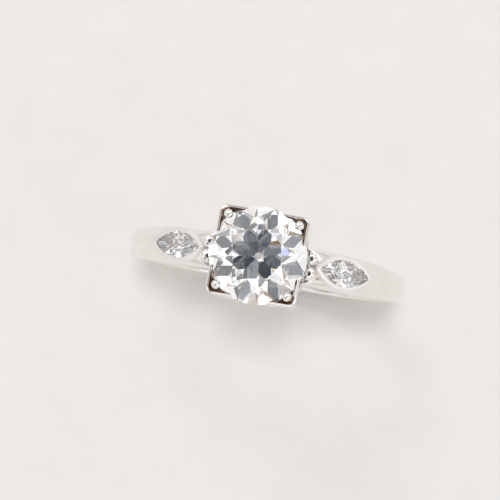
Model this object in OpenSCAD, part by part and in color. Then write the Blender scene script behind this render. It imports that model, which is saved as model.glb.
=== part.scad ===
// Engagement ring: an old-cut round centre stone in a square head with four
// L-shaped corner prongs, and a marquise stone in a raised bezel on each
// shoulder. Millimetres. The finger bore runs along Y with its centre at the
// origin, the head points up +Z and the shoulders rise to it along X.

/* [Finger hole] */
// Inside diameter of the hoop
bore_dia = 16.9; // [15.7:0.1:18.9]
// Length of the straight part of the finger hole's wall
bore_len = 1.4; // [1.2:0.1:1.5]

/* [Band] */
// Thickness of the band at its crest, at the back of the finger
band_t = 1.5; // [1.2:0.1:1.8]
// Width of the band where it meets the shoulders
band_w = 1.9; // [1.8:0.1:2.2]
// Width of the band at the back of the finger
back_w = 1.65; // [1.6:0.05:1.8]
// Radius of the dome across the outside of the band
dome_r = 1.7; // [1.5:0.1:2.4]

/* [Shoulders] */
// Width of each shoulder at its side stone
shoulder_w = 2.55; // [2.5:0.05:2.65]
// How far the shoulder's outer curve is drawn off centre, which lifts it towards the head
shoulder_rise = 1.6; // [1.2:0.1:2]
// Angle from the top of the ring to the joint between band and shoulder
join_angle = 75; // [70:1:80]

/* [Side stones] */
// Angle from the top of the ring to the middle of a side stone
side_angle = 33; // [32.5:0.5:34]
// Length of the marquise bezel, tip to tip
bezel_len = 4.8; // [4.6:0.1:4.8]
// Width of the marquise bezel
bezel_w = 2.3; // [2.2:0.05:2.35]
// Thickness of the bezel's wall
bezel_wall = 0.3; // [0.25:0.01:0.34]
// Height of the bezel's rim above the crest of the shoulder
bezel_proud = 0.25; // [0.2:0.05:0.4]

/* [Head] */
// Outside width of the square head
head_w = 6.05; // [5.9:0.05:6.2]
// Thickness of the corner prongs' walls
wall = 0.3; // [0.25:0.01:0.35]
// Length of each arm of an L-shaped corner prong
arm = 1.9; // [1.8:0.05:2]
// Height of the stone's girdle above the finger
girdle_rise = 3.65; // [3.6:0.05:3.9]
// Radius of the bead that holds the stone's edge in each corner
bead_r = 0.34; // [0.3:0.01:0.36]

/* [Centre stone] */
// Diameter of the centre stone
stone_dia = 6.5; // [6.4:0.05:6.6]
// Width of the table as a share of the diameter
table_share = 0.53; // [0.5:0.01:0.58]
// Slope of the crown's main facets in degrees
crown_angle = 35; // [31:0.5:37]
// Slope of the pavilion's main facets in degrees
pavilion_angle = 40; // [39.5:0.5:41]
// Width of the culet as a share of the diameter
culet_share = 0.07; // [0.04:0.01:0.09]
// Length of the lower half facets as a share of the way to the culet
lower_half = 0.6; // [0.5:0.01:0.75]
// Turn of the facets about the stone's axis, in degrees
stone_turn = -12; // [-22:1:22]

/* [Hidden] */
$fn = 96;

metal = [0.88, 0.87, 0.85];
clear_stone = [0.86, 0.93, 0.98];

bore_r = bore_dia / 2;
band_r = bore_r + band_t;
reach = 4 * band_r;                        // longer than anything it has to cut
bore_reach = band_r / 2;                   // half length of the tool that cuts the finger hole
edge_relief = 0.35;                        // how fast the bore opens beyond its straight part
under_head = bore_r + 0.25;                // the head stands this far from the axis, clear of the finger
eps = 0.02;                                // solder gap between a stone and its metal

// shoulder curve: a circle through the band's crest at the joint, drawn from a centre beyond the axis
rise_r = band_r + shoulder_rise;
rise_at = [-shoulder_rise * sin(join_angle), -shoulder_rise * cos(join_angle)];
// point on the curve, as [x, z], at an angle from the top of the ring
function crest(a) = let (d = join_angle - a)
    (sqrt(pow(rise_r, 2) - pow(shoulder_rise * sin(d), 2)) - shoulder_rise * cos(d)) * [sin(a), cos(a)];
function crest_over(x) = rise_at[1] + sqrt(pow(rise_r, 2) - pow(x - rise_at[0], 2));
side_at = crest(side_angle);
side_tilt = atan2(side_at[0] - rise_at[0], side_at[1] - rise_at[1]);

// marquise outline: two arcs, concentric for every outline of the same stone
arc_r = (pow(bezel_len, 2) + pow(bezel_w, 2)) / (4 * bezel_w);
arc_off = arc_r - bezel_w / 2;
side_lap = 0.05;                           // the rim laps the stone by this much
side_r = arc_r - bezel_wall + side_lap;
side_w = 2 * (side_r - arc_off);
side_girdle = 0.08;
side_crown = 0.15 * side_w;
side_pavilion = 0.42 * side_w;
side_table = 0.58;
side_culet = 0.03;
side_half = 0.6;                           // length of its lower half facets
side_main = 58;                            // direction of its main facets beside the long axis
side_flare = 0.12;                         // how far the bezel's inner wall opens in one millimetre of height
side_top = 0.05;                           // the side stone's table lies this far below the rim
side_mid = -side_top - side_crown - side_girdle / 2;
bezel_h = 0.95;
seat_h = 0.35;                             // height of the sloped seat under a side stone's girdle
seat_in = 0.25;

// centre stone
stone_r = stone_dia / 2;
girdle_t = 0.2;
girdle_z = bore_r + girdle_rise;
crown_h = stone_r * (1 - table_share) * tan(crown_angle);
pavilion_h = stone_r * (1 - culet_share) * tan(pavilion_angle);
star_share = 0.5;
facet_lift = 0.01;                         // the girdle halves start this far past the girdle's edge
main_step = 45;

// square head
head_h = head_w / 2;
inner_h = head_h - wall;
gap_h = head_h - arm;                      // half the gap between two arms of one side
corner_r = 0.5;
rim_z = girdle_z + 0.26;
window_r = 1.75;
window_z = girdle_z - 1.25;
base_z = girdle_z - 2.85;
rail_z = girdle_z - 1.35;
rail_t = 0.4;
opening_r = 1.75;                          // opening in the base, under the stone
bead_at = stone_r + 0.09;                  // distance of a bead's centre from the stone's axis
post_at = bead_at + 0.26;
post_r = bead_r + 0.02;
post_z = rim_z - 0.1;                      // the post ends inside the bead

// collar
collar_x = head_h + 0.85;
lobe_r = 0.45;
lobe_y = 0.5;
lobe_blend = 0.06;                         // the bar stops this far inside the outer edges of the lobes
step_z = crest_over(collar_x) - 0.15;
collar_z = step_z + 1;

// ---- faceted stones ----

// point of the girdle outline whose outward normal is at angle n; off is 0 for a round stone
function rim_point(r, off, n) =
    abs(sin(n)) * r <= off + 1e-9
        ? [sign(cos(n)) * sqrt(r * r - off * off), 0]
        : [r * cos(n), r * sin(n) - sign(sin(n)) * off];
// directions of the eight main facets, and of the girdle points between them
function mains(a) = [0, a, 90, 180 - a, 180, 180 + a, 270, 360 - a];
function mids(a, tip) = [
    (tip + a) / 2, (90 + a) / 2, (270 - a) / 2, 180 - (tip + a) / 2,
    180 + (tip + a) / 2, (450 + a) / 2, (630 - a) / 2, 360 - (tip + a) / 2
];
function toward(n) = [cos(n), sin(n)];
function up(p, z) = [p[0], p[1], z];
// height over the girdle's edge, above point q, of the main facet that faces n and starts at rim point p
function main_height(p, n, q, h, inner) = (p - q) * toward(n) * h / (p * toward(n) * (1 - inner));
// plane through three points as [outward normal, distance from the origin]
function plane3(a, b, c) = let (n = cross(b - a, c - a), s = n * a < 0 ? -1 : 1)
    [n * s / norm(n), n * a * s / norm(n)];

// the planes of a stone's crown (s = 1) or pavilion (s = -1): mains, girdle halves and, on a crown, stars
function facets(r, off, a, g, h, inner, halves, s) =
    let (pn = mains(a), mn = mids(a, asin(off / r)),
         z0 = s * g / 2, z1 = s * (g / 2 + h), zh = z0 + s * facet_lift)
    [for (k = [0:7])
        let (
            p = rim_point(r, off, pn[k]),
            q = rim_point(r, off, pn[(k + 1) % 8]),
            m = rim_point(r, off, mn[k]),
            edge = (p + q) / 2 * inner,
            t = s > 0 ? edge + (m - edge) * star_share : m * (1 - halves),
            z = z0 + s * min(main_height(p, pn[k], t, h, inner),
                             main_height(q, pn[(k + 1) % 8], t, h, inner)),
            side = [-sin(pn[k]), cos(pn[k]), 0]
        )
        each concat(
            [plane3(up(p, z0), up(p, z0) + side, up(p * inner, z1)),
             plane3(up(p, zh), up(m, zh), up(t, z)),
             plane3(up(m, zh), up(q, zh), up(t, z))],
            s > 0 ? [plane3(up(p * inner, z1), up(q * inner, z1), up(t, z))] : []
        )
    ];

module cut_facets(planes, k = 0) {
    // the child with everything beyond each plane taken away, one facet at a time
    far = 3 * stone_dia;
    difference() {
        if (k + 1 < len(planes)) cut_facets(planes, k + 1) children();
        else children();
        rotate([0, acos(planes[k][0][2]), atan2(planes[k][0][1], planes[k][0][0])])
            translate([-far / 2, -far / 2, planes[k][1]]) cube([far, far, far / 2]);
    }
}

module outline_prism(r, off, z0, z1, flare = 0) {
    // upright prism on a round or marquise outline; flare widens its top
    intersection() {
        translate([0, -off, z0]) cylinder(h = z1 - z0, r1 = r, r2 = r + flare);
        translate([0, off, z0]) cylinder(h = z1 - z0, r1 = r, r2 = r + flare);
    }
}

module brilliant(r, off, a, g, crown, table, pavilion, culet, halves) {
    cut_facets(concat(
        facets(r, off, a, g, crown, table, halves, 1),
        facets(r, off, a, g, pavilion, culet, halves, -1)
    ))
        outline_prism(r, off, -g / 2 - pavilion, g / 2 + crown);
}

module centre_diamond() {
    color(clear_stone)
        translate([0, 0, girdle_z])
            rotate([0, 0, stone_turn])
                brilliant(stone_r, 0, main_step, girdle_t, crown_h, table_share,
                          pavilion_h, culet_share, lower_half);
}

module stone_room(r) {
    // the round space that the centre stone fills, with a solder gap all round
    star_r = r * (table_share * cos(22.5) * (1 - star_share) + star_share);
    star_z = girdle_t / 2 + (r - star_r * cos(22.5)) * tan(crown_angle);
    half_r = r * (1 - lower_half);
    half_z = girdle_t / 2 + (r - half_r * cos(22.5)) * tan(pavilion_angle);
    translate([0, 0, girdle_z])
        rotate_extrude()
            polygon([
                [0, -girdle_t / 2 - pavilion_h - eps],
                [r * culet_share + eps, -girdle_t / 2 - pavilion_h - eps],
                [half_r + eps, -half_z - eps],
                [r + eps, -girdle_t / 2 - eps],
                [r + eps, girdle_t / 2 + eps],
                [star_r + eps, star_z + eps],
                [r * table_share + eps, girdle_t / 2 + crown_h + eps],
                [0, girdle_t / 2 + crown_h + eps]
            ]);
}

// ---- band and shoulders ----

module bore_room() {
    // the finger hole: straight in the middle, opening a little towards both edges
    mouth_r = bore_r + edge_relief * (bore_reach - bore_len / 2);
    rotate([90, 0, 0])
        rotate_extrude($fn = 180)
            polygon([
                [0, -bore_reach],
                [mouth_r, -bore_reach],
                [bore_r, -bore_len / 2],
                [bore_r, bore_len / 2],
                [mouth_r, bore_reach],
                [0, bore_reach]
            ]);
}

module domed_profile(r) {
    // section of a half-round band from the axis out to its crest at radius r
    intersection() {
        translate([0, -dome_r]) square([r, 2 * dome_r]);
        union() {
            translate([0, -dome_r]) square([r - dome_r, 2 * dome_r]);
            translate([r - dome_r, 0]) circle(dome_r);
        }
    }
}

module shank() {
    taper = atan((band_w - back_w) / 2 / (band_r * (1 + cos(join_angle))));
    color(metal)
        difference() {
            rotate([90, 0, 0])
                rotate_extrude(start = 90 + join_angle, angle = 360 - 2 * join_angle, $fn = 180)
                    domed_profile(band_r);
            bore_room();
            for (s = [-1, 1])
                translate([0, s * band_w / 2, band_r * cos(join_angle)])
                    rotate([-s * taper, 0, 0])
                        translate([-reach / 2, s > 0 ? 0 : -reach / 2, -reach / 2])
                            cube([reach, reach / 2, reach]);
        }
}

module at_side_stone() {
    // the middle of a side stone's rim, square to the shoulder's curve there
    translate([side_at[0], 0, side_at[1]])
        rotate([0, side_tilt, 0])
            translate([0, 0, bezel_proud]) children();
}

module shoulder() {
    // right-hand shoulder
    widest = rise_r * sin(join_angle - side_tilt);
    flank_r = (pow(widest, 2) + pow((shoulder_w - band_w) / 2, 2)) / (shoulder_w - band_w);
    difference() {
        intersection() {
            // outer curve with its dome
            rotate([0, join_angle, 0])
                translate([0, 0, -shoulder_rise])
                    rotate([90, 0, 0])
                        rotate_extrude($fn = 180)
                            domed_profile(rise_r);
            // tapering flanks
            rotate([0, join_angle, 0])
                intersection_for(s = [-1, 1])
                    translate([-widest, s * (flank_r - shoulder_w / 2), 0])
                        cylinder(h = 2 * reach, r = flank_r, center = true, $fn = 720);
            // between the joint with the band and the head
            rotate([0, join_angle, 0])
                translate([-reach, -reach / 2, 0]) cube([reach, reach, reach]);
            translate([head_h, -reach / 2, 0]) cube([reach, reach, reach]);
        }
        bore_room();
        // step that the collar stands on
        translate([0, -reach / 2, step_z]) cube([collar_x, reach, reach]);
        // seat of the bezel, and the hollow under the side stone
        at_side_stone() {
            outline_prism(arc_r, arc_off, -bezel_h, reach);
            outline_prism(side_r - seat_in, arc_off, -bezel_h - seat_h, 0);
        }
    }
}

module shoulder_right() { color(metal) shoulder(); }
module shoulder_left() { color(metal) mirror([1, 0, 0]) shoulder(); }

// ---- side stones and their bezels ----

module side_room() {
    // space for one side stone: open above the girdle, grooved at it, tapering below it
    under = side_mid - side_girdle / 2 - eps;
    outline_prism(arc_r - bezel_wall, arc_off, side_mid, side_mid + 1, side_flare);
    outline_prism(side_r + eps, arc_off, under, side_mid + side_girdle / 2 + side_lap + eps);
    outline_prism(side_r - seat_in, arc_off, under - seat_h, under, seat_in + eps);
    outline_prism(side_r - seat_in, arc_off, -2 * bezel_h, under);
}

module bezel() {
    difference() {
        outline_prism(arc_r, arc_off, -bezel_h, 0);
        side_room();
    }
}

module side_diamond() {
    translate([0, 0, side_mid])
        brilliant(side_r, arc_off, side_main, side_girdle, side_crown, side_table,
                  side_pavilion, side_culet, side_half);
}

module marquise_bezel_right() { color(metal) at_side_stone() bezel(); }
module marquise_bezel_left() { color(metal) mirror([1, 0, 0]) at_side_stone() bezel(); }
module marquise_diamond_right() { color(clear_stone) at_side_stone() side_diamond(); }
module marquise_diamond_left() { color(clear_stone) mirror([1, 0, 0]) at_side_stone() side_diamond(); }

// ---- head ----

module rounded_square(h, r) {
    square([2 * h, 2 * (h - r)], center = true);
    square([2 * (h - r), 2 * h], center = true);
    for (x = [-1, 1], y = [-1, 1])
        translate([x * (h - r), y * (h - r)]) circle(r);
}

module slab(z0, z1) {
    translate([0, 0, z0]) linear_extrude(z1 - z0) children();
}

module finger_room() {
    // the space under the head that the finger needs
    rotate([90, 0, 0]) cylinder(h = reach, r = under_head, center = true, $fn = 180);
}

module head_base() {
    color(metal)
        difference() {
            slab(0, base_z) {
                rounded_square(inner_h, corner_r - wall);
                square([2 * head_h, 2 * gap_h], center = true);
                square([2 * gap_h, 2 * head_h], center = true);
            }
            finger_room();
            // opening under the stone
            cylinder(h = girdle_z, r = opening_r);
        }
}

module seat_rail() {
    color(metal)
        difference() {
            slab(rail_z, rail_z + rail_t) rounded_square(inner_h, corner_r - wall);
            stone_room(stone_r);
        }
}

module prong() {
    // the corner at +X +Y
    difference() {
        union() {
            difference() {
                slab(0, rim_z)
                    intersection() {
                        difference() {
                            rounded_square(head_h, corner_r);
                            rounded_square(inner_h, corner_r - wall);
                        }
                        translate([gap_h, gap_h]) square(2 * head_h);
                    }
                // round windows in the sides of the head
                translate([0, 0, window_z]) {
                    rotate([90, 0, 0]) cylinder(h = 4 * head_h, r = window_r, center = true);
                    rotate([0, 90, 0]) cylinder(h = 4 * head_h, r = window_r, center = true);
                }
            }
            // post and bead
            rotate([0, 0, 45]) {
                translate([post_at, 0, rail_z + rail_t])
                    cylinder(h = post_z - rail_z - rail_t, r = post_r, $fn = 48);
                translate([bead_at, 0, rim_z]) sphere(bead_r, $fn = 48);
            }
        }
        finger_room();
        stone_room(stone_r);
    }
}

module prong_back_right() { color(metal) prong(); }
module prong_back_left() { color(metal) mirror([1, 0, 0]) prong(); }
module prong_front_right() { color(metal) mirror([0, 1, 0]) prong(); }
module prong_front_left() { color(metal) mirror([1, 0, 0]) mirror([0, 1, 0]) prong(); }

module collar() {
    // right-hand collar: a bar against the head with two domed lobes
    bar_h = lobe_y + lobe_r - lobe_blend;
    difference() {
        union() {
            translate([inner_h, -bar_h, step_z])
                cube([collar_x - lobe_r - inner_h, 2 * bar_h, collar_z - step_z]);
            for (s = [-1, 1])
                translate([collar_x - lobe_r, s * lobe_y, step_z]) {
                    cylinder(h = collar_z - step_z, r = lobe_r, $fn = 64);
                    translate([0, 0, collar_z - step_z]) sphere(lobe_r, $fn = 64);
                }
        }
        at_side_stone() outline_prism(arc_r + eps, arc_off, -bezel_h, 1);
    }
}

module collar_right() { color(metal) collar(); }
module collar_left() { color(metal) mirror([1, 0, 0]) collar(); }

shank();
shoulder_left();
shoulder_right();
marquise_bezel_left();
marquise_bezel_right();
marquise_diamond_left();
marquise_diamond_right();
collar_left();
collar_right();
head_base();
seat_rail();
prong_back_left();
prong_back_right();
prong_front_left();
prong_front_right();
centre_diamond();
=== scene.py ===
import math

import bmesh
import bpy
from mathutils import Matrix, Vector


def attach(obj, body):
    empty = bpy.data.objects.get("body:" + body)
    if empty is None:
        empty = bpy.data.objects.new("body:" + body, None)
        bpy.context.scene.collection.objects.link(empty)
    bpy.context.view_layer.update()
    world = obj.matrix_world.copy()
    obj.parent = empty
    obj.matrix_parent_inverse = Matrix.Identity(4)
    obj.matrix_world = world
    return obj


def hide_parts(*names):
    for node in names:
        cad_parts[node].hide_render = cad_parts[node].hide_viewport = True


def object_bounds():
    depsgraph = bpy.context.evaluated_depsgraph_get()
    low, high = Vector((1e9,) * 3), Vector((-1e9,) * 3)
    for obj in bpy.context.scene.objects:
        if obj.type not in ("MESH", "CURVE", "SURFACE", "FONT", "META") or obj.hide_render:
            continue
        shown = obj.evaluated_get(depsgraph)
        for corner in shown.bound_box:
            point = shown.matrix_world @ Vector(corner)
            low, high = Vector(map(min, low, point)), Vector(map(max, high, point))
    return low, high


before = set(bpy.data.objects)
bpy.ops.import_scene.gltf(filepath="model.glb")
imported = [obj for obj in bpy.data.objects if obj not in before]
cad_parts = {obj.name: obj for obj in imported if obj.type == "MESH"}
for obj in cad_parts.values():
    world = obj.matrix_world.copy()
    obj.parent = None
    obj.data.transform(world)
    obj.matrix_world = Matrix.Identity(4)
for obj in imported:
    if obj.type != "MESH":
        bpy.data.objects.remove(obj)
cad_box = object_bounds()

MM = 0.001

# ---- sizes in millimetres, in the CAD frame: Y is the bore axis, +Z the head ----

BORE_R = 8.45
BORE_HALF = 0.7              # half length of the straight part of the finger hole
BORE_SLOPE = 0.35            # how fast the hole opens beyond it
BAND_R = 9.95
DOME_R = 1.7
BAND_HALF = 0.95             # half width of the band at the joint
BACK_HALF = 0.825            # half width at the back of the finger
JOIN = math.radians(75)
RISE = 1.6
RISE_R = BAND_R + RISE
RISE_X = -RISE * math.sin(JOIN)
RISE_Z = -RISE * math.cos(JOIN)
SHOULDER_HALF = 1.275

SIDE_ANGLE = math.radians(33)
BEZEL_LEN = 4.8
BEZEL_W = 2.3
ARC_R = (BEZEL_LEN ** 2 + BEZEL_W ** 2) / (4 * BEZEL_W)
ARC_OFF = ARC_R - BEZEL_W / 2
BEZEL_WALL = 0.3
BEZEL_H = 0.95
BEZEL_PROUD = 0.25
POCKET_TIGHT = 0.02          # the shoulder's pocket is this much smaller than the bezel
SIDE_R = ARC_R - BEZEL_WALL + 0.05
SIDE_W = 2 * (SIDE_R - ARC_OFF)
SIDE_GIRDLE = 0.08
SIDE_CROWN = 0.15 * SIDE_W
SIDE_PAVILION = 0.42 * SIDE_W
SIDE_MID = -0.05 - SIDE_CROWN - SIDE_GIRDLE / 2

HEAD_H = 3.025
WALL = 0.3
INNER_H = HEAD_H - WALL
GAP_H = 1.125
CORNER_R = 0.5
WALL_MID_R = CORNER_R - WALL / 2
HALF_ARC = WALL_MID_R * math.pi / 4   # half the unrolled length of a wall's rounded corner
WALL_EDGE = 0.07
UNDER_R = 8.7
GIRDLE_Z = 12.1
RIM_Z = GIRDLE_Z + 0.26
RIM_LEAN = 0.12              # the rim is highest this far inside the middle of the wall
RIM_ROUND = 0.34
RECESS_FROM = 0.02           # from this far inside the middle of the wall the metal gets painted shade
WINDOW_R = 1.75
WINDOW_Z = GIRDLE_Z - 1.25
BASE_Z = GIRDLE_Z - 2.85
RAIL_Z = GIRDLE_Z - 1.35
RAIL_T = 0.4
STONE_R = 3.25
GIRDLE_T = 0.2
TABLE = 0.53
CULET = 0.07
LOWER_HALVES = 0.6           # how far the halves below the girdle reach towards the culet
CROWN_ANGLE = math.radians(35)
PAVILION_ANGLE = math.radians(40)
CROWN_H = STONE_R * (1 - TABLE) * math.tan(CROWN_ANGLE)
PAVILION_H = STONE_R * (1 - CULET) * math.tan(PAVILION_ANGLE)
STONE_TURN = math.radians(-12)
BEAD_R = 0.34
BEAD_AT = STONE_R + 0.09
POST_AT = BEAD_AT + 0.26
POST_R = BEAD_R + 0.02

COLLAR_X = HEAD_H + 0.85
LOBE_R = 0.45
LOBE_Y = 0.5


def crest(a):
    """Radius of the shoulder's crest at angle a from the top of the ring."""
    d = JOIN - a
    return math.sqrt(RISE_R ** 2 - (RISE * math.sin(d)) ** 2) - RISE * math.cos(d)


def crest_over(x):
    """Height of the shoulder's crest over x."""
    return RISE_Z + math.sqrt(RISE_R ** 2 - (x - RISE_X) ** 2)


STEP_Z = crest_over(COLLAR_X) - 0.15
COLLAR_Z = STEP_Z + 1


# ---- mesh helpers ----

DEGENERATE = 1e-4            # edges and faces thinner than this are taken out
SHARP_FROM = 32              # edges that turn by more degrees than this stay sharp


def outward(bm):
    """Turns every closed shell so that its faces point outwards."""
    bm.normal_update()
    bmesh.ops.recalc_face_normals(bm, faces=bm.faces)
    left = set(bm.faces)
    while left:
        shell, front = [], [left.pop()]
        while front:
            face = front.pop()
            shell.append(face)
            for edge in face.edges:
                for other in edge.link_faces:
                    if other in left:
                        left.remove(other)
                        front.append(other)
        if sum(f.calc_area() * f.normal.dot(f.calc_center_median()) for f in shell) < 0:
            bmesh.ops.reverse_faces(bm, faces=shell)


def new_object(name, bm):
    """A scene object from a bmesh, which is used up."""
    me = bpy.data.meshes.new(name)
    bm.to_mesh(me)
    bm.free()
    ob = bpy.data.objects.new(name, me)
    bpy.context.scene.collection.objects.link(ob)
    return ob


def shade(ob, sharp):
    """Smooth shading up to edges that turn by more than sharp degrees."""
    ob.data.shade_smooth()
    ob.data.set_sharp_from_angle(angle=math.radians(sharp))


def mesh_object(node, bm, smooth=SHARP_FROM):
    """The visual piece that stands for a CAD node, from a bmesh in millimetres."""
    bmesh.ops.dissolve_degenerate(bm, dist=DEGENERATE, edges=bm.edges)
    outward(bm)
    bmesh.ops.scale(bm, vec=(MM, MM, MM), verts=bm.verts)
    ob = new_object(node + "_piece", bm)
    if smooth:
        shade(ob, smooth)
    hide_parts(node)
    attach(ob, "root")
    return ob


def subtract(ob, cutter):
    """Takes the closed object cutter out of ob and deletes it."""
    mod = ob.modifiers.new("cut", "BOOLEAN")
    mod.object = cutter
    mod.operation = "DIFFERENCE"
    mod.solver = "EXACT"
    bpy.context.view_layer.update()
    shape = bpy.data.meshes.new_from_object(ob.evaluated_get(bpy.context.evaluated_depsgraph_get()))
    ob.modifiers.clear()
    ob.data = shape
    bpy.data.objects.remove(cutter)


def cut_away(bm, cut):
    """The solid bm after a boolean cut by the solid cut, with the edges that it leaves open filled."""
    solids = []
    for solid in (bm, cut):
        bmesh.ops.remove_doubles(solid, verts=solid.verts, dist=DEGENERATE)
        bmesh.ops.dissolve_degenerate(solid, dist=DEGENERATE, edges=solid.edges)
        bmesh.ops.triangulate(solid, faces=[f for f in solid.faces if len(f.verts) > 4])
        outward(solid)
        solids.append(new_object("solid", solid))
        # two empty slots, so that the boolean keeps both material numbers
        for _ in range(2):
            solids[-1].data.materials.append(None)
    subtract(*solids)
    result = bmesh.new()
    result.from_mesh(solids[0].data)
    bpy.data.objects.remove(solids[0])
    bmesh.ops.remove_doubles(result, verts=result.verts, dist=DEGENERATE)
    bmesh.ops.holes_fill(result, edges=[e for e in result.edges if e.is_boundary], sides=0)
    return result


def loft(bm, loops, closed=False, caps=True):
    """Quads between loops of equal length; closed joins the last loop to the first."""
    rings = [[bm.verts.new(p) for p in loop] for loop in loops]
    n = len(rings[0])
    pairs = list(zip(rings, rings[1:])) + ([(rings[-1], rings[0])] if closed else [])
    for a, b in pairs:
        for i in range(n):
            j = (i + 1) % n
            bm.faces.new((a[i], a[j], b[j], b[i]))
    if caps and not closed:
        bm.faces.new(rings[0][::-1])
        bm.faces.new(rings[-1])
    return rings


def bezier(a, c, b, n):
    """n points on the curve from a to b that leaves towards c, without b itself."""
    pts = []
    for i in range(n):
        t = i / n
        pts.append(tuple((1 - t) ** 2 * p + 2 * t * (1 - t) * q + t * t * r
                         for p, q, r in zip(a, c, b)))
    return pts


def line(a, b, n):
    """n points on the straight line from a to b, without b itself."""
    return [tuple(p + (q - p) * i / n for p, q in zip(a, b)) for i in range(n)]


def rounded(corners, radius, per_corner, per_side):
    """A closed polygon with its corners rounded, and so many points to a corner and to a side."""
    bends = []
    for i in range(len(corners)):
        a, c, b = (Vector(corners[(i + k) % len(corners)]) for k in (-1, 0, 1))
        back, ahead = a - c, b - c
        d = min(radius / math.tan(back.angle(ahead) / 2), back.length * 0.49, ahead.length * 0.49)
        bends.append((c + back.normalized() * d, c, c + ahead.normalized() * d))
    pts = []
    for (start, c, stop), (goal, _, _) in zip(bends, bends[1:] + bends[:1]):
        pts += bezier(start, c, stop, per_corner) + [tuple(stop)]
        pts += line(stop, goal, per_side)[1:]
    return pts


def offset(outline, d):
    """The closed 2-D outline (anticlockwise) moved outwards by d."""
    n = len(outline)
    moved = []
    for i in range(n):
        a, c, b = (Vector(outline[(i + k) % n][:2]) for k in (-1, 0, 1))
        t1, t2 = (c - a).normalized(), (b - c).normalized()
        n1, n2 = Vector((t1.y, -t1.x)), Vector((t2.y, -t2.x))
        m = n1 + n2
        m = m / max(m.length_squared / 2, 0.5)
        moved.append((c.x + m.x * d, c.y + m.y * d))
    return moved


# ---- band and shoulders ----

def section(crest_r, half):
    """Half-round section as (y, distance from the bore's axis), anticlockwise from the inner left."""
    def inner(y):
        return BORE_R + BORE_SLOPE * max(0.0, abs(y) - BORE_HALF)

    def dome(y):
        return crest_r - DOME_R + math.sqrt(DOME_R ** 2 - y * y)

    # where the rounded edges begin, and how many points the bore and the dome have
    cut_in, cut_out, cut_side = 0.14, 0.16, 0.14
    bore_steps, dome_steps = 14, 18
    y_in, y_out = half - cut_in, half - cut_out
    pts = []
    for i in range(bore_steps + 1):
        y = -y_in + 2 * y_in * i / bore_steps
        pts.append((y, inner(y)))
    side_lo, side_hi = inner(half) + cut_side, dome(half) - cut_side
    pts += bezier((y_in, inner(y_in)), (half, inner(half)), (half, side_lo), 5)[1:]
    pts += line((half, side_lo), (half, side_hi), 4)
    pts += bezier((half, side_hi), (half, dome(half)), (y_out, dome(y_out)), 6)
    for i in range(dome_steps):
        y = y_out - 2 * y_out * i / dome_steps
        pts.append((y, dome(y)))
    pts += bezier((-y_out, dome(y_out)), (-half, dome(half)), (-half, side_hi), 6)
    pts += line((-half, side_hi), (-half, side_lo), 4)
    pts += bezier((-half, side_lo), (-half, inner(half)), (-y_in, inner(y_in)), 5)
    return pts


def shank():
    """The plain band from one joint round the back of the finger to the other."""
    bm = bmesh.new()
    loops = []
    steps = 150
    for k in range(steps + 1):
        a = JOIN + (2 * math.pi - 2 * JOIN) * k / steps
        z_mid = BAND_R * math.cos(a)
        share = (z_mid + BAND_R) / (BAND_R * (1 + math.cos(JOIN)))
        half = BACK_HALF + (BAND_HALF - BACK_HALF) * share
        loops.append([(r * math.sin(a), y, r * math.cos(a)) for y, r in section(BAND_R, half)])
    loft(bm, loops)
    return mesh_object("shank", bm)


def shoulder_width(a):
    """Half width of the shoulder at angle a: the flanks are arcs, widest at the side stone."""
    tilt = math.atan2(crest(SIDE_ANGLE) * math.sin(SIDE_ANGLE) - RISE_X,
                      crest(SIDE_ANGLE) * math.cos(SIDE_ANGLE) - RISE_Z)
    widest = RISE_R * math.sin(JOIN - tilt)
    flank_r = (widest ** 2 + (SHOULDER_HALF - BAND_HALF) ** 2) / (2 * (SHOULDER_HALF - BAND_HALF))
    along = crest(a) * math.sin(JOIN - a)
    return SHOULDER_HALF - flank_r + math.sqrt(flank_r ** 2 - (along - widest) ** 2)


def soft_min(a, b, k):
    """The lower of a and b, blended where they are closer than k."""
    h = max(k - abs(a - b), 0.0) / k
    return min(a, b) - h * h * k / 4


def shoulder(side, name):
    """The domed band from the joint to the head, with the side stone's pocket cut out."""
    bm = bmesh.new()
    out_end = math.atan2(HEAD_H, crest_over(HEAD_H))
    in_end = math.asin(HEAD_H / BORE_R)
    loops = []
    steps = 110
    for k in range(steps + 1):
        t = k / steps
        a_out, a_in = JOIN + (out_end - JOIN) * t, JOIN + (in_end - JOIN) * t
        top = Vector((crest(a_out) * math.sin(a_out), 0, crest(a_out) * math.cos(a_out)))
        low = Vector((BORE_R * math.sin(a_in), 0, BORE_R * math.cos(a_in)))
        tall = (top - low).length
        up = (top - low) / tall
        loop = []
        for y, r in section(BORE_R + tall, shoulder_width(a_out)):
            p = low + up * (r - BORE_R)
            # the step that the collar stands on
            limit = STEP_Z + max(0.0, p.x - COLLAR_X) * 6
            loop.append((side * p.x, y, soft_min(p.z, limit, 0.06)))
        loops.append(loop)
    loft(bm, loops)
    ob = mesh_object(name, bm)
    # seat of the bezel and the hollow under the side stone: arc radius, low and high end
    for r, low, high in ((ARC_R - POCKET_TIGHT, -BEZEL_H, 1.5), (SIDE_R - 0.25, -BEZEL_H - 0.35, 0.0)):
        cut = bmesh.new()
        loft(cut, [[side_stone_point(side, (x, y, z)) for x, y in marquise(r)] for z in (low, high)])
        outward(cut)
        bmesh.ops.scale(cut, vec=(MM, MM, MM), verts=cut.verts)
        subtract(ob, new_object("cutter", cut))
    shade(ob, SHARP_FROM)
    return ob


# ---- side stones ----

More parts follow.
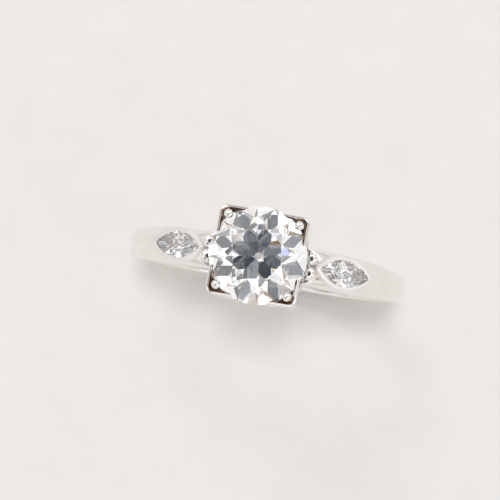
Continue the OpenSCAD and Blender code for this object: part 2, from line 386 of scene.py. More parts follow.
def marquise(r, tip=0.16, n=26):
    """Closed marquise outline of arc radius r, anticlockwise, with its tips rounded off."""
    end = math.acos(ARC_OFF / r) if r > ARC_OFF else 0
    trim = min(tip / r, end * 0.4)
    pts = []
    for s in (1, -1):
        arc = []
        for i in range(n + 1):
            a = (end - trim) - 2 * (end - trim) * i / n
            arc.append((s * r * math.sin(a), s * (r * math.cos(a) - ARC_OFF)))
        pts += arc[:-1]
        nose = (-s * math.sqrt(r * r - ARC_OFF ** 2), 0.0)
        nxt = (-s * r * math.sin(end - trim), -s * (r * math.cos(end - trim) - ARC_OFF))
        pts += bezier(arc[-1], nose, nxt, 6)
    return pts


def side_stone_point(side, p):
    """From a side stone's own frame, rim at z = 0, to the ring's frame."""
    at_x = crest(SIDE_ANGLE) * math.sin(SIDE_ANGLE)
    at_z = crest(SIDE_ANGLE) * math.cos(SIDE_ANGLE)
    tilt = math.atan2(at_x - RISE_X, at_z - RISE_Z)
    z = p[2] + BEZEL_PROUD
    x = at_x + p[0] * math.cos(tilt) + z * math.sin(tilt)
    return (side * x, p[1], at_z - p[0] * math.sin(tilt) + z * math.cos(tilt))


def bezel(side, name):
    """The pointed-oval frame: a profile run round the marquise outline."""
    bm = bmesh.new()
    under = SIDE_MID - SIDE_GIRDLE / 2 - 0.02
    flare = 0.12 * -SIDE_MID / (1 - SIDE_MID)
    inside = -BEZEL_WALL
    lip = inside + flare
    profile = [(-0.01, -BEZEL_H), (0.0, -BEZEL_H + 0.02), (0.0, -0.6), (0.0, -0.2), (0.0, -0.075)]
    profile += bezier((0.0, -0.07), (0.0, 0.0), (-0.07, 0.0), 4)[1:]
    profile += [(-0.07, 0.0), (lip + 0.05, 0.0)]
    profile += bezier((lip + 0.05, 0.0), (lip, 0.0), (lip, -0.05), 4)[1:]
    profile += [(lip, -0.05), (inside, SIDE_MID + SIDE_GIRDLE / 2),
                (inside, SIDE_MID + 0.02), (inside + 0.05, SIDE_MID),
                (inside + 0.05, under), (inside - 0.2, under - 0.35), (inside - 0.2, -BEZEL_H)]
    loops = [[side_stone_point(side, (x, y, z)) for x, y in marquise(ARC_R + off)] for off, z in profile]
    loft(bm, loops, closed=True)
    # the inner wall carries the second material
    first = profile.index((lip, -0.05)) * len(loops[0])
    bm.faces.ensure_lookup_table()
    for f in bm.faces[first:]:
        f.material_index = 1
    return mesh_object(name, bm, smooth=38)


# ---- faceted stones ----

def rim_point(r, off, n):
    """Point of a marquise outline (a circle if off is 0) whose outward direction is n."""
    if abs(math.sin(n)) * r <= off + 1e-9:
        return Vector((math.copysign(math.sqrt(r * r - off * off), math.cos(n)), 0, 0))
    return Vector((r * math.cos(n), r * math.sin(n) - math.copysign(off, math.sin(n)), 0))


def facet_planes(r, off, main, girdle, height, inner, halves, s):
    """(point, outward normal) of the facets of a crown (s = 1) or pavilion (s = -1)."""
    lift = 0.01              # the halves start this far off the girdle's edge
    rad = math.radians
    tip = math.degrees(math.asin(off / r))
    pn = [rad(a) for a in (0, main, 90, 180 - main, 180, 180 + main, 270, 360 - main)]
    mn = [rad(a) for a in ((tip + main) / 2, (90 + main) / 2, (270 - main) / 2, 180 - (tip + main) / 2,
                           180 + (tip + main) / 2, (450 + main) / 2, (630 - main) / 2,
                           360 - (tip + main) / 2)]
    z0, z1 = s * girdle / 2, s * (girdle / 2 + height)
    zh = z0 + s * lift

    def up(p, z):
        return Vector((p.x, p.y, z))

    def main_height(p, n, q):
        way = Vector((math.cos(n), math.sin(n), 0))
        return (p - q).dot(way) * height / (p.dot(way) * (1 - inner))

    planes = []

    def plane(a, b, c):
        n = (b - a).cross(c - a).normalized()
        planes.append((a, n if n.dot(a) > 0 else -n))

    for k in range(8):
        na, nb = pn[k], pn[(k + 1) % 8]
        p, q, m = rim_point(r, off, na), rim_point(r, off, nb), rim_point(r, off, mn[k])
        edge = (p + q) / 2 * inner
        t = edge + (m - edge) * 0.5 if s > 0 else m * (1 - halves)
        z = z0 + s * min(main_height(p, na, t), main_height(q, nb, t))
        along = Vector((-math.sin(na), math.cos(na), 0))
        plane(up(p, z0), up(p, z0) + along, up(p * inner, z1))
        plane(up(p, zh), up(m, zh), up(t, z))
        plane(up(m, zh), up(q, zh), up(t, z))
        if s > 0:
            plane(up(p * inner, z1), up(q * inner, z1), up(t, z))
    return planes


def cut_stone(outline, planes, low, high):
    """Convex solid: a prism on the outline with every facet plane cut away in turn."""
    bm = bmesh.new()
    loft(bm, [[(x, y, z) for x, y in outline] for z in (low, high)])
    for point, normal in planes:
        cut = bmesh.ops.bisect_plane(bm, geom=bm.verts[:] + bm.edges[:] + bm.faces[:], dist=1e-6,
                                     plane_co=point, plane_no=normal, clear_outer=True)
        rim = [e for e in cut["geom_cut"] if isinstance(e, bmesh.types.BMEdge)]
        if len(rim) > 2:
            bmesh.ops.contextual_create(bm, geom=rim)
    bmesh.ops.remove_doubles(bm, verts=bm.verts, dist=2e-4)
    return bm


def stone_object(name, bm, place, girdle_level, girdle_half):
    """Marks the girdle's faces for the bruted finish, places the stone and makes its object."""
    for f in bm.faces:
        c = f.calc_center_median()
        if abs(f.normal.z) < 0.05 and abs(c.z - girdle_level) < girdle_half:
            f.material_index = 1
    for v in bm.verts:
        v.co = Vector(place(v.co))
    return mesh_object(name, bm, smooth=0)


def centre_stone():
    """The old-cut round stone: eight mains above and below, a small table and an open culet."""
    n = 128
    ring = [(STONE_R * math.cos(2 * math.pi * i / n), STONE_R * math.sin(2 * math.pi * i / n))
            for i in range(n)]
    planes = facet_planes(STONE_R, 0, 45, GIRDLE_T, CROWN_H, TABLE, 0.6, 1)
    planes += facet_planes(STONE_R, 0, 45, GIRDLE_T, PAVILION_H, CULET, LOWER_HALVES, -1)
    bm = cut_stone(ring, planes, -GIRDLE_T / 2 - PAVILION_H, GIRDLE_T / 2 + CROWN_H)
    turn = Matrix.Rotation(STONE_TURN, 3, "Z")
    return stone_object("centre_diamond", bm, lambda p: turn @ p + Vector((0, 0, GIRDLE_Z)),
                        0, GIRDLE_T / 2 + 0.05)


def side_stone(side, name):
    """The marquise stone, set just below its bezel's rim."""
    planes = facet_planes(SIDE_R, ARC_OFF, 58, SIDE_GIRDLE, SIDE_CROWN, 0.58, 0.6, 1)
    planes += facet_planes(SIDE_R, ARC_OFF, 58, SIDE_GIRDLE, SIDE_PAVILION, 0.03, 0.6, -1)
    bm = cut_stone(marquise(SIDE_R, tip=0.03, n=36), planes, -SIDE_GIRDLE / 2 - SIDE_PAVILION,
                   SIDE_GIRDLE / 2 + SIDE_CROWN)
    return stone_object(name, bm, lambda p: side_stone_point(side, p + Vector((0, 0, SIDE_MID))),
                        0, SIDE_GIRDLE / 2 + 0.03)


# ---- head ----

def corner_path(s):
    """Point on the middle of a corner wall, and its outward direction, s along from the corner."""
    centre = HEAD_H - CORNER_R
    if abs(s) <= HALF_ARC:
        a = math.pi / 4 + s / WALL_MID_R
        out = Vector((math.cos(a), math.sin(a), 0))
        return Vector((centre, centre, 0)) + out * WALL_MID_R, out
    run = abs(s) - HALF_ARC
    if s > 0:
        return Vector((centre - run, HEAD_H - WALL / 2, 0)), Vector((0, 1, 0))
    return Vector((HEAD_H - WALL / 2, centre - run, 0)), Vector((1, 0, 0))


def prong_outline():
    """The wall of a corner prong unrolled: closed outline in (s, z), anticlockwise."""
    end = HALF_ARC + (HEAD_H - CORNER_R - GAP_H)
    top_a = math.acos(GAP_H / WINDOW_R)
    rim_steps, window_steps, under_steps = 8, 26, 30

    def underside(s):
        # the arm along X follows the finger's curve, the arm along Y is level
        x = min(GAP_H + (end - abs(s)), HEAD_H) if s > 0 else HEAD_H
        return math.sqrt(UNDER_R ** 2 - x * x)

    def side(sign):
        """Down one arm's free end, round the window, from the rim to the underside."""
        pts = [(sign * end, RIM_Z)]
        for i in range(window_steps + 1):
            a = top_a - 2 * top_a * i / window_steps
            pts.append((sign * (end - (WINDOW_R * math.cos(a) - GAP_H)),
                        WINDOW_Z + WINDOW_R * math.sin(a)))
        pts.append((sign * end, underside(sign * end)))
        return pts

    pts = line((end, RIM_Z), (-end, RIM_Z), rim_steps) + side(-1)
    for i in range(1, under_steps):
        s = -end + 2 * end * i / under_steps
        pts.append((s, underside(s)))
    pts += side(1)[:0:-1]
    clean = []
    for p in pts:
        if not clean or (Vector(p) - Vector(clean[-1])).length > DEGENERATE:
            clean.append(p)
    if (Vector(clean[0]) - Vector(clean[-1])).length < DEGENERATE:
        clean.pop()
    return clean


def round_corners(outline, sharp=25, cut=0.06, n=4):
    """Rounds only the corners of a dense outline that turn by more than sharp degrees."""
    out = []
    count = len(outline)
    for i in range(count):
        a, c, b = (Vector(outline[(i + k) % count]) for k in (-1, 0, 1))
        turn = (c - a).angle(b - c)
        if turn > math.radians(sharp):
            d1, d2 = min(cut, (c - a).length * 0.45), min(cut, (b - c).length * 0.45)
            start, stop = c + (a - c).normalized() * d1, c + (b - c).normalized() * d2
            out += bezier(start, c, stop, n) + [tuple(stop)]
        else:
            out.append(tuple(c))
    return out


def plate(outline, thickness, edge, place, cuts):
    """A flat plate with rounded edges on a dense outline (s, z), bent by place(s, depth, z)."""
    bm = bmesh.new()
    half = thickness / 2
    edge_steps, deep_steps = 4, 5
    rings = []
    for i in range(edge_steps):
        a = math.pi / 2 * i / edge_steps
        rings.append((-half + edge * (1 - math.cos(a)), -edge * (1 - math.sin(a))))
    rings += [(-half + edge + (2 * half - 2 * edge) * i / deep_steps, 0.0)
              for i in range(deep_steps + 1)]
    rings += [(-depth, inset) for depth, inset in rings[edge_steps - 1::-1]]
    loft(bm, [[(p[0], depth, p[1]) for p in offset(outline, inset)] for depth, inset in rings])
    # the rim is rounded off towards the outside
    for v in bm.verts:
        lean = v.co.y + RIM_LEAN
        v.co.z = min(v.co.z, RIM_Z - RIM_ROUND + math.sqrt(RIM_ROUND ** 2 - lean ** 2))
    # the inner face and its edge carry the second material, which is painted shade
    for f in bm.faces:
        f.material_index = int(f.calc_center_median().y < -RECESS_FROM)
    for s in cuts:
        bmesh.ops.bisect_plane(bm, geom=bm.verts[:] + bm.edges[:] + bm.faces[:], dist=1e-5,
                               plane_co=(s, 0, 0), plane_no=(1, 0, 0))
    for v in bm.verts:
        v.co = place(v.co.x, v.co.y, v.co.z)
    bm.normal_update()
    big = [f for f in bm.faces if len(f.verts) > 4]
    bmesh.ops.triangulate(bm, faces=big, quad_method="BEAUTY", ngon_method="BEAUTY")
    return bm


def lathe(bm, profile, at, n):
    """A turned solid about a vertical line at `at`; profile is (radius, z) from the bottom up."""
    loops = []
    for r, z in profile:
        loops.append([(at[0] + r * math.cos(2 * math.pi * i / n),
                       at[1] + r * math.sin(2 * math.pi * i / n), z) for i in range(n)])
    loft(bm, loops)


def stone_room():
    """A round space that the centre stone fits in, with a hair's gap all round."""
    gap = 0.02
    half_turn = math.cos(math.radians(22.5))   # 22.5 degrees is half the turn between two mains
    star_r = STONE_R * (TABLE * half_turn + 1) / 2
    half_r = STONE_R * (1 - LOWER_HALVES)
    levels = [(STONE_R * CULET, -GIRDLE_T / 2 - PAVILION_H - gap),
              (half_r, -GIRDLE_T / 2 - (STONE_R - half_r * half_turn) * math.tan(PAVILION_ANGLE) - gap),
              (STONE_R, -GIRDLE_T / 2 - gap), (STONE_R, GIRDLE_T / 2 + gap),
              (star_r, GIRDLE_T / 2 + (STONE_R - star_r * half_turn) * math.tan(CROWN_ANGLE) + gap),
              (STONE_R * TABLE, GIRDLE_T / 2 + CROWN_H + gap)]
    bm = bmesh.new()
    lathe(bm, [(r + gap, GIRDLE_Z + z) for r, z in levels], (0, 0), n=128)
    return bm


def claw(sx, sy):
    """The post that leans in and ends in a bead over the stone's edge."""
    diagonal = Vector((sx, sy, 0)).normalized()
    across = Vector((-diagonal.y, diagonal.x, 0))
    # distance out along the diagonal, height and radius, from the bottom up
    path = [(POST_AT, RAIL_Z + RAIL_T, POST_R),
            (POST_AT, RIM_Z - 0.55, POST_R),
            (POST_AT, RIM_Z - 0.42, POST_R),
            (POST_AT - 0.03, RIM_Z - 0.3, POST_R),
            (POST_AT - 0.10, RIM_Z - 0.2, 0.36),
            (BEAD_AT + 0.07, RIM_Z - 0.1, 0.35),
            (BEAD_AT + 0.01, RIM_Z, BEAD_R)]
    dome_steps, n = 9, 28
    for i in range(1, dome_steps):
        a = math.pi / 2 * i / dome_steps
        path.append((BEAD_AT, RIM_Z + BEAD_R * math.sin(a), BEAD_R * math.cos(a)))
    path.append((BEAD_AT, RIM_Z + BEAD_R, 0.02))
    loops = []
    for d, z, r in path:
        ring = []
        for i in range(n):
            a = 2 * math.pi * i / n
            p = diagonal * (d + r * math.cos(a)) + across * (r * math.sin(a))
            ring.append((p.x, p.y, z))
        loops.append(ring)
    bm = bmesh.new()
    loft(bm, loops)
    return bm


def prong(sx, sy, name):
    """One corner of the head: an L-shaped wall, and the claw inside its corner."""
    bends = 10
    cuts = [-HALF_ARC + 2 * HALF_ARC * i / bends for i in range(bends + 1)]

    def place(s, depth, z):
        p, out = corner_path(s)
        q = p + out * depth
        return Vector((sx * q.x, sy * q.y, z))

    # this cut clears the stone's room on the arm along X only: on the arm along Y the wall still
    # reaches about 0.2 mm into the stone's edge
    wall = plate(round_corners(prong_outline()), WALL, WALL_EDGE, place, cuts)
    bm = cut_away(wall, stone_room())
    post = cut_away(claw(sx, sy), stone_room())
    post_mesh = bpy.data.meshes.new("claw")
    post.to_mesh(post_mesh)
    post.free()
    bm.from_mesh(post_mesh)
    return mesh_object(name, bm, smooth=35)


def round_square(h, r, tab_h=0.0, tab_out=0.0):
    """Anticlockwise rounded square of half width h, with tabs of half width tab_h on its sides."""
    longest = 0.18           # straight stretches are divided into parts of about this length
    pts = []
    for q in range(4):
        turn = Matrix.Rotation(q * math.pi / 2, 2)
        side = [(h, -h + r)]
        if tab_h:
            side += [(h, -tab_h), (h + tab_out, -tab_h), (h + tab_out, tab_h), (h, tab_h)]
        side += [(h, h - r)]
        dense = []
        for a, b in zip(side, side[1:]):
            steps = max(1, int((Vector(b) - Vector(a)).length / longest))
            dense += line(a, b, steps)
        dense += bezier((h, h - r), (h, h), (h - r, h), 5)
        pts += [tuple(turn @ Vector(p)) for p in dense]
    return pts


def ring_plate(outline, hole_low, hole_high, low, high, edge, name):
    """A plate with a round hole: low and high give the height of a face at x, y."""
    bm = bmesh.new()

    def hole(r):
        return [(r * p[0] / math.hypot(*p), r * p[1] / math.hypot(*p)) for p in outline]

    def blend(a, b, t):
        return [(p[0] + (q[0] - p[0]) * t, p[1] + (q[1] - p[1]) * t) for p, q in zip(a, b)]

    def at(pts, height, add):
        return [(x, y, height(x, y) + add) for x, y in pts]

    inset = offset(outline, -edge)
    mid = offset(outline, -edge * 0.3)
    h_top, h_low = hole(hole_high + edge), hole(hole_low + edge)
    loops = [at(hole(hole_high), high, -edge), at(hole(hole_high + edge * 0.3), high, -edge * 0.3)]
    loops += [at(blend(h_top, inset, t), high, 0) for t in (0, 0.25, 0.5, 0.75, 1)]
    loops += [at(mid, high, -edge * 0.3), at(outline, high, -edge), at(outline, low, edge),
              at(mid, low, edge * 0.3)]
    loops += [at(blend(inset, h_low, t), low, 0) for t in (0, 0.25, 0.5, 0.75, 1)]
    loops += [at(hole(hole_low + edge * 0.3), low, edge * 0.3), at(hole(hole_low), low, edge)]
    loft(bm, loops, closed=True)
    return mesh_object(name, bm, smooth=35)


def head_base():
    """The block over the finger: its underside follows the finger's curve."""
    outline = round_corners(round_square(INNER_H, 0.15, GAP_H, WALL), sharp=60, cut=0.03, n=3)
    return ring_plate(outline, 1.75, 1.75, lambda x, y: math.sqrt(UNDER_R ** 2 - x * x),
                      lambda x, y: BASE_Z, 0.05, "head_base")


def seat_rail():
    """The square frame under the centre stone, with a tapered hole for it."""
    outline = round_square(INNER_H, 0.15)
    return ring_plate(outline, 1.94, 2.38, lambda x, y: RAIL_Z, lambda x, y: RAIL_Z + RAIL_T, 0.05,
                      "seat_rail")


def collar(side, name):
    """Two domed lobes side by side on a bar that runs in between the head's arms."""
    bm = bmesh.new()
    top = COLLAR_Z
    dome, dome_steps = 0.34, 12
    x_lobe = COLLAR_X - LOBE_R
    for s in (-1, 1):
        profile = [(LOBE_R - 0.02, STEP_Z), (LOBE_R, STEP_Z + 0.03), (LOBE_R, STEP_Z + 0.5),
                   (LOBE_R, top)]
        for i in range(1, dome_steps):
            a = math.pi / 2 * i / dome_steps
            profile.append((LOBE_R * math.cos(a) ** 0.8, top + dome * math.sin(a) ** 0.9))
        profile.append((0.02, top + dome))
        lathe(bm, profile, (side * x_lobe, s * LOBE_Y), n=36)
    half = LOBE_Y + LOBE_R - 0.06
    box = rounded([(INNER_H, -half), (x_lobe, -half), (x_lobe, half), (INNER_H, half)], 0.05, 3, 6)
    # height of each level of the bar, and how far its outline is moved out
    levels = [(STEP_Z, -0.03), (STEP_Z + 0.03, 0), (top - 0.06, 0), (top - 0.02, -0.02), (top, -0.06)]
    loft(bm, [[(side * x, y, z) for x, y in offset(box, out)] for z, out in levels])
    return mesh_object(name, bm, smooth=35)


# ---- materials ----

BUMP_DEPTH = 0.00001         # in metres
DIAMOND_IOR = 2.417


def nodes_of(name):
    """A new material, its node tree and its shader."""
    mat = bpy.data.materials.new(name)
    mat.use_nodes = True
    nt = mat.node_tree
    return mat, nt, nt.nodes["Principled BSDF"]


def metal_nodes(name):
    """As nodes_of, for a metal."""
    mat, nt, bsdf = nodes_of(name)
    bsdf.inputs["Metallic"].default_value = 1.0
    return mat, nt, bsdf


def diamond_nodes(name):
    """As nodes_of, for cut diamond."""
    mat, nt, bsdf = nodes_of(name)
    bsdf.inputs["Transmission Weight"].default_value = 1.0
    bsdf.inputs["IOR"].default_value = DIAMOND_IOR
    return mat, nt, bsdf


def noise(nt, scale, detail=3.0, rough=0.5, stretch=(1, 1, 1)):
    """A noise texture in object space, with so many patches to the metre."""
    coord = nt.nodes.new("ShaderNodeTexCoord")
    mapping = nt.nodes.new("ShaderNodeMapping")
    mapping.inputs["Scale"].default_value = stretch
    tex = nt.nodes.new("ShaderNodeTexNoise")
    tex.inputs["Scale"].default_value = scale
    tex.inputs["Detail"].default_value = detail
    tex.inputs["Roughness"].default_value = rough
    nt.links.new(coord.outputs["Object"], mapping.inputs["Vector"])
    nt.links.new(mapping.outputs["Vector"], tex.inputs["Vector"])
    return tex


def ramp(nt, source, stops):
    """The colour that a ramp gives a value; stops are (position, colour or grey)."""
    node = nt.nodes.new("ShaderNodeValToRGB")
    while len(node.color_ramp.elements) < len(stops):
        node.color_ramp.elements.new(0.5)
    for el, (pos, col) in zip(node.color_ramp.elements, stops):
        el.position = pos
        el.color = (*col, 1) if isinstance(col, tuple) else (col, col, col, 1)
    nt.links.new(source, node.inputs["Fac"])
    return node.outputs["Color"]


def feed(nt, tex, stops, socket):
    """Drives a shader's socket by a texture through a ramp."""
    nt.links.new(ramp(nt, tex.outputs["Fac"], stops), socket)


def metal(name, tone, rough_low, rough_high, bump, stretch=(1, 1, 1)):
    """Polished white metal: soft cloudy polish, hairline scratches and a faint colour drift."""
    mat, nt, bsdf = metal_nodes(name)
    light = tuple(min(1, c * 1.03) for c in tone)
    dull = tuple(c * 0.96 for c in tone)
    feed(nt, noise(nt, 900, 3, 0.55), [(0.3, dull), (0.7, light)], bsdf.inputs["Base Color"])
    feed(nt, noise(nt, 2600, 4, 0.6), [(0.35, rough_low), (0.7, rough_high)], bsdf.inputs["Roughness"])
    relief = nt.nodes.new("ShaderNodeBump")
    relief.inputs["Strength"].default_value = bump
    relief.inputs["Distance"].default_value = BUMP_DEPTH
    nt.links.new(noise(nt, 9000, 4, 0.65, stretch).outputs["Fac"], relief.inputs["Height"])
    nt.links.new(relief.outputs["Normal"], bsdf.inputs["Normal"])
    return mat


def painted_shade_metal(name, share):
    """The metal in hollows: a share of its colour is warm, streaky, dark-brown painted shade."""
    mat, nt, bsdf = metal_nodes(name)
    # the dark-brown and brown stops are painted shade, the last one is the plain metal
    stops = [(share, (0.10, 0.05, 0.03)),
             (share + 0.09, (0.36, 0.26, 0.20)),
             (share + 0.16, (0.86, 0.83, 0.80))]
    feed(nt, noise(nt, 1300, 3, 0.6, (1, 1, 0.35)), stops, bsdf.inputs["Base Color"])
    feed(nt, noise(nt, 5000, 4, 0.6), [(0.35, 0.12), (0.7, 0.3)], bsdf.inputs["Roughness"])
    return mat


def diamond(name, rough):
    """Cut diamond; rough is the softest its facets get."""
    mat, nt, bsdf = diamond_nodes(name)
    feed(nt, noise(nt, 500, 2), [(0.3, (0.985, 0.99, 1.0)), (0.7, (1.0, 1.0, 1.0))],
         bsdf.inputs["Base Color"])
    feed(nt, noise(nt, 1500, 3), [(0.4, rough / 8), (0.7, rough)], bsdf.inputs["Roughness"])
    return mat


def bruted(name):
    """The ground, unpolished edge of an old-cut stone."""
    mat, nt, bsdf = diamond_nodes(name)
    grain = noise(nt, 14000, 4, 0.7)
    feed(nt, grain, [(0.3, (0.88, 0.9, 0.92)), (0.7, (0.97, 0.98, 0.99))], bsdf.inputs["Base Color"])
    feed(nt, grain, [(0.3, 0.3), (0.7, 0.5)], bsdf.inputs["Roughness"])
    return mat


def paper(name):
    """The floor's matt, faintly mottled paper."""
    mat, nt, bsdf = nodes_of(name)
    feed(nt, noise(nt, 320, 5, 0.6), [(0.3, (0.83, 0.82, 0.808)), (0.7, (0.86, 0.853, 0.843))],
         bsdf.inputs["Base Color"])
    bsdf.inputs["Roughness"].default_value = 0.9
    bsdf.inputs["Specular IOR Level"].default_value = 0.1
    return mat


# ---- the ring ----

BAND_TONE = (0.90, 0.89, 0.875)

band = metal("metal_band", BAND_TONE, 0.10, 0.22, 0.10, (1, 6, 1))
shoulder_finish = metal("metal_shoulder", BAND_TONE, 0.10, 0.20, 0.10, (1, 5, 1))
bright = metal("metal_bright", (0.92, 0.91, 0.90), 0.03, 0.10, 0.05)
# painted shade in the colour of the prongs' inner walls and of the seat rail
dark = painted_shade_metal("metal_recess_painted_shade", 0.48)
seat = painted_shade_metal("metal_seat_painted_shade", 0.33)
setting = metal("metal_setting", (0.985, 0.98, 0.975), 0.02, 0.06, 0.03)
clear = diamond("diamond_clear", 0.01)
small = diamond("diamond_small", 0.08)
ground = bruted("diamond_girdle")

pieces = {
    shank(): [band],
    shoulder(-1, "shoulder_left"): [shoulder_finish],
    shoulder(1, "shoulder_right"): [shoulder_finish],
    bezel(-1, "marquise_bezel_left"): [bright, setting],
    bezel(1, "marquise_bezel_right"): [bright, setting],
    side_stone(-1, "marquise_diamond_left"): [small, ground],
    side_stone(1, "marquise_diamond_right"): [small, ground],
    collar(-1, "collar_left"): [bright],
    collar(1, "collar_right"): [bright],
    head_base(): [bright],
    seat_rail(): [seat],
    # each prong's second material paints shade on the inner side of its wall
    prong(-1, 1, "prong_back_left"): [bright, dark],
    prong(1, 1, "prong_back_right"): [bright, dark],
    prong(-1, -1, "prong_front_left"): [bright, dark],
    prong(1, -1, "prong_front_right"): [bright, dark],
    centre_stone(): [clear, ground],
}
for piece, finishes in pieces.items():
    for finish in finishes:
        piece.data.materials.append(finish)


# ---- floor, camera and lights, in metres ----

FLOOR_HALF = 0.6
TILT_RIGHT, TILT_FRONT = math.radians(4.2), math.radians(3.6)
ROLL = math.radians(10.3)
CAMERA_FROM = 0.141
LENS, SENSOR = 154.5, 36
TARGET = Vector((0, 0, GIRDLE_Z)) * MM
AIM_LEFT, AIM_UP = 0.52 * MM, 0.36 * MM    # the stone lies this far right of and below the middle

# soft panels and dark patches of the tent: azimuth, elevation, radius, softness, colour
PATCHES = [
    (135, 50, 15, 5, (1.9, 1.9, 1.95)),
    (60, 42, 10, 4, (1.7, 1.75, 1.85)),
    (-20, 52, 9, 4, (1.7, 1.65, 1.6)),
    (-120, 42, 16, 7, (0.26, 0.17, 0.11)),
    (-35, 30, 12, 5, (0.30, 0.18, 0.10)),
    (15, 33, 11, 5, (0.24, 0.17, 0.12)),
    (95, 30, 11, 5, (0.25, 0.24, 0.25)),
    (178, 32, 11, 5, (0.28, 0.22, 0.18)),
    (-50, 86, 21, 5, (0.052, 0.068, 0.084)),
    (60, 74, 9, 5, (0.16, 0.18, 0.20)),
    (-140, 72, 8, 5, (0.30, 0.31, 0.33)),
    (-20, 70, 6, 4, (0.32, 0.2, 0.11)),
]
# small coloured lights and dark spots that only rays through the stones pick up
SPARKS = [
    (-60, 52, 3, 2, (0.74, 0.79, 1.1)),
    (160, 64, 3, 2, (0.6, 0.7, 1.25)),
    (38, 60, 3, 2, (1.3, 0.95, 0.4)),
    (-162, 55, 7, 3, (0.36, 0.21, 0.11)),
    (-125, 84, 3, 2, (0.26, 0.28, 0.30)),
    (-165, 80, 3, 2, (0.02, 0.025, 0.03)),
    (-108, 77, 2.5, 1.5, (0.22, 0.15, 0.11)),
    (60, 83, 3, 2, (0.24, 0.25, 0.27)),
]
# the tent's own colour by height, from the floor up
TENT = [(0.0, (0.55, 0.49, 0.44)), (0.1, (0.74, 0.71, 0.68)),
        (0.35, (0.92, 0.91, 0.90)), (1.0, (1.0, 1.0, 1.0))]
TENT_STRENGTH = 1.08
FLOOR_GLOW = (0.588, 0.558, 0.525)         # what lights matt surfaces is dimmer and warmer
BACK_WALL = (0.79, 0.78, 0.765)            # the camera itself sees a plain pale wall


def add_floor():
    """A wide sheet under the lowest point of the ring."""
    bm = bmesh.new()
    bmesh.ops.create_grid(bm, x_segments=8, y_segments=8, size=FLOOR_HALF)
    for v in bm.verts:
        v.co.z = cad_box[0].z
    floor = new_object("floor", bm)
    floor.data.materials.append(paper("floor_paper"))


def add_camera():
    """Almost straight down on the head, a little from the right and the front."""
    away = Vector((math.tan(TILT_RIGHT), -math.tan(TILT_FRONT), 1)).normalized()
    right = Vector((0, 1, 0)).cross(away).normalized()
    up = away.cross(right)
    turned_right = right * math.cos(ROLL) + up * math.sin(ROLL)
    turned_up = up * math.cos(ROLL) - right * math.sin(ROLL)
    aim = TARGET - turned_right * AIM_LEFT + turned_up * AIM_UP
    data = bpy.data.cameras.new("camera")
    data.lens = LENS
    data.sensor_width = SENSOR
    data.clip_start = 0.01
    cam = bpy.data.objects.new("camera", data)
    bpy.context.scene.collection.objects.link(cam)
    axes = Matrix((turned_right, turned_up, away)).transposed()
    cam.matrix_world = Matrix.Translation(aim + away * CAMERA_FROM) @ axes.to_4x4()
    bpy.context.scene.camera = cam


def lamp(name, kind, power, colour, towards):
    """A light that shines from the direction towards."""
    data = bpy.data.lights.new(name, kind)
    data.energy = power
    data.color = colour
    ob = bpy.data.objects.new(name, data)
    ob.rotation_euler = towards.to_track_quat("Z", "Y").to_euler()
    bpy.context.scene.collection.objects.link(ob)
    return ob


def area_light(name, at, size, power, colour):
    """A round panel at a place, aimed at the centre stone."""
    ob = lamp(name, "AREA", power, colour, Vector(at) - TARGET)
    ob.location = at
    ob.data.shape = "DISK"
    ob.data.size = size


def overhead_light():
    """A soft light from almost overhead for the floor's shadows; metal and stones don't mirror it."""
    ob = lamp("overhead", "SUN", 0.91, (0.97, 0.985, 1.0), Vector((0.046, 0.092, 1)))
    ob.data.angle = math.radians(11)
    ob.visible_glossy = False
    ob.visible_transmission = False


def mix(nt, share, before, after):
    """The colour before, turned by its share into after, which is another socket or a colour."""
    node = nt.nodes.new("ShaderNodeMix")
    node.data_type = "RGBA"
    nt.links.new(share, node.inputs["Factor"])
    nt.links.new(before, node.inputs["A"])
    if isinstance(after, tuple):
        node.inputs["B"].default_value = (*after, 1)
    else:
        nt.links.new(after, node.inputs["B"])
    return node.outputs["Result"]


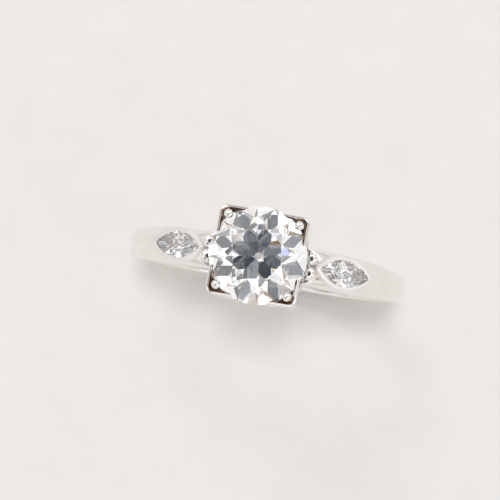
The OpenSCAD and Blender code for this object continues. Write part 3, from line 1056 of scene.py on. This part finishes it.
def patch(nt, way, before, azimuth, elevation, radius, soft, colour):
    """Paints a round patch of the tent; azimuth 0 is +X, 90 is +Y, angles in degrees."""
    az, el = math.radians(azimuth), math.radians(elevation)
    middle = (math.cos(el) * math.cos(az), math.cos(el) * math.sin(az), math.sin(el))
    dot = nt.nodes.new("ShaderNodeVectorMath")
    dot.operation = "DOT_PRODUCT"
    dot.inputs[1].default_value = middle
    nt.links.new(way, dot.inputs[0])
    edge = nt.nodes.new("ShaderNodeMapRange")
    edge.interpolation_type = "SMOOTHSTEP"
    edge.inputs["From Min"].default_value = math.cos(math.radians(radius + soft))
    edge.inputs["From Max"].default_value = math.cos(math.radians(max(radius - soft, 0)))
    nt.links.new(dot.outputs["Value"], edge.inputs["Value"])
    return mix(nt, edge.outputs["Result"], before, colour)


def add_tent():
    """The world: a white tent with soft panels, and a dark patch overhead, where the camera is."""
    world = bpy.data.worlds.new("tent")
    bpy.context.scene.world = world
    world.use_nodes = True
    nt = world.node_tree
    way = nt.nodes.new("ShaderNodeTexCoord").outputs["Generated"]
    split = nt.nodes.new("ShaderNodeSeparateXYZ")
    nt.links.new(way, split.inputs["Vector"])
    sky = ramp(nt, split.outputs["Z"], TENT)
    for spot in PATCHES:
        sky = patch(nt, way, sky, *spot)
    sparkling = sky
    for spot in SPARKS:
        sparkling = patch(nt, way, sparkling, *spot)
    ray = nt.nodes.new("ShaderNodeLightPath")
    sky = mix(nt, ray.outputs["Is Transmission Ray"], sky, sparkling)
    sky = mix(nt, ray.outputs["Is Diffuse Ray"], sky, FLOOR_GLOW)
    sky = mix(nt, ray.outputs["Is Camera Ray"], sky, BACK_WALL)
    background = nt.nodes["Background"]
    nt.links.new(sky, background.inputs["Color"])
    background.inputs["Strength"].default_value = TENT_STRENGTH


add_floor()
add_camera()
area_light("key", (-0.10, 0.22, 0.34), 0.12, 0.14, (1.0, 0.985, 0.965))
area_light("fill", (0.30, -0.10, 0.22), 0.25, 0.07, (0.95, 0.97, 1.0))
overhead_light()
add_tent()

# light has to pass many facets before it leaves a stone
scene = bpy.context.scene
scene.view_settings.view_transform = "Standard"
scene.cycles.max_bounces = 40
scene.cycles.transmission_bounces = 28
scene.cycles.glossy_bounces = 16
scene.cycles.diffuse_bounces = 4
